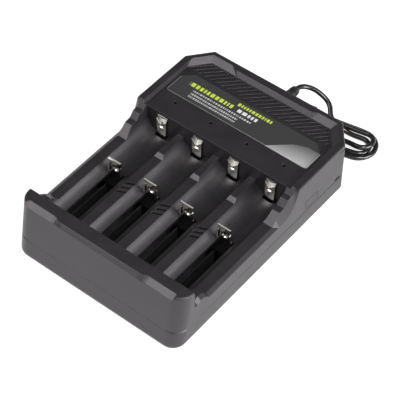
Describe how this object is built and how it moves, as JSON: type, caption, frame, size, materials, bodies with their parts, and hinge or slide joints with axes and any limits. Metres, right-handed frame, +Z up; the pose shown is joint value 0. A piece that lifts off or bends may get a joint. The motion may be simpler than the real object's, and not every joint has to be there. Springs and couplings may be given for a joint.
{
  "type": "li-ion battery charger",
  "caption": "Desktop charger with open troughs for cylindrical lithium cells, sprung sliding contacts, a raised head with indicator lamps, and a coiled cord with a USB plug.",
  "frame": {"origin": "on the ground under the middle of the case, without the cord", "axes": "+X across the bays to the right, +Y from the low front wall to the head with the cord, +Z up"},
  "size_m": [0.1005, 0.163, 0.0315],
  "materials": {
    "shell_plastic": "fine spark-textured black moulded plastic",
    "label_print": "satin black film with printed yellow-green and white fields and a pale sheen at one corner",
    "board_laminate": "green solder mask over glass laminate",
    "chip_epoxy": "black epoxy packages with tinned legs",
    "capacitor_sleeve": "dark shrink sleeve on an aluminium can",
    "screw_steel": "zinc-plated steel",
    "lead_insulation": "thin insulated wire",
    "lamp_lens": "clear epoxy lens",
    "contact_nickel": "bright nickel-plated sheet",
    "carriage_plastic": "black moulded plastic",
    "spring_steel": "drawn spring wire",
    "moulded_pvc": "black moulded PVC",
    "cord_pvc": "glossy black PVC jacket",
    "tie_plastic": "flat black plastic tie",
    "plug_steel": "folded and plated steel sheet",
    "tongue_plastic": "white moulded insulator"
  },
  "bodies": {
    "case": {"bottom_shell": "shell_plastic", "top_shell": "shell_plastic", "label_film": "label_print", "circuit_board": "board_laminate", "charge_chips": "chip_epoxy", "filter_capacitor": "capacitor_sleeve", "board_screws": "screw_steel", "supply_leads": "lead_insulation", "indicator_led_1": "lamp_lens", "indicator_led_2": "lamp_lens", "indicator_led_3": "lamp_lens", "indicator_led_4": "lamp_lens", "fixed_contact_1": "contact_nickel", "fixed_contact_2": "contact_nickel", "fixed_contact_3": "contact_nickel", "fixed_contact_4": "contact_nickel", "slider_spring_1": "spring_steel", "slider_spring_2": "spring_steel", "slider_spring_3": "spring_steel", "slider_spring_4": "spring_steel", "spring_anchors": "contact_nickel", "case_screws": "screw_steel", "strain_relief": "moulded_pvc", "cord_lead": "cord_pvc", "cord_hank": "cord_pvc", "cord_tail": "cord_pvc", "cord_tie": "tie_plastic", "usb_plug_grip": "moulded_pvc", "usb_plug_shell": "plug_steel", "usb_plug_tongue": "tongue_plastic"},
    "slider_1": {"slider_plate_1": "contact_nickel", "slider_carriage_1": "carriage_plastic"},
    "slider_2": {"slider_plate_2": "contact_nickel", "slider_carriage_2": "carriage_plastic"},
    "slider_3": {"slider_plate_3": "contact_nickel", "slider_carriage_3": "carriage_plastic"},
    "slider_4": {"slider_plate_4": "contact_nickel", "slider_carriage_4": "carriage_plastic"}
  },
  "joints": [
    {"name": "slider_1_slide", "type": "slide", "parent": "case", "child": "slider_1", "axis": [0, -1, 0], "range_m": [0, 0.037], "stiffness_N_per_m": 70, "springref_m": -0.03, "deforming": ["slider_spring_1"]},
    {"name": "slider_2_slide", "type": "slide", "parent": "case", "child": "slider_2", "axis": [0, -1, 0], "range_m": [0, 0.037], "stiffness_N_per_m": 70, "springref_m": -0.03, "deforming": ["slider_spring_2"]},
    {"name": "slider_3_slide", "type": "slide", "parent": "case", "child": "slider_3", "axis": [0, -1, 0], "range_m": [0, 0.037], "stiffness_N_per_m": 70, "springref_m": -0.03, "deforming": ["slider_spring_3"]},
    {"name": "slider_4_slide", "type": "slide", "parent": "case", "child": "slider_4", "axis": [0, -1, 0], "range_m": [0, 0.037], "stiffness_N_per_m": 70, "springref_m": -0.03, "deforming": ["slider_spring_4"]}
  ]
}
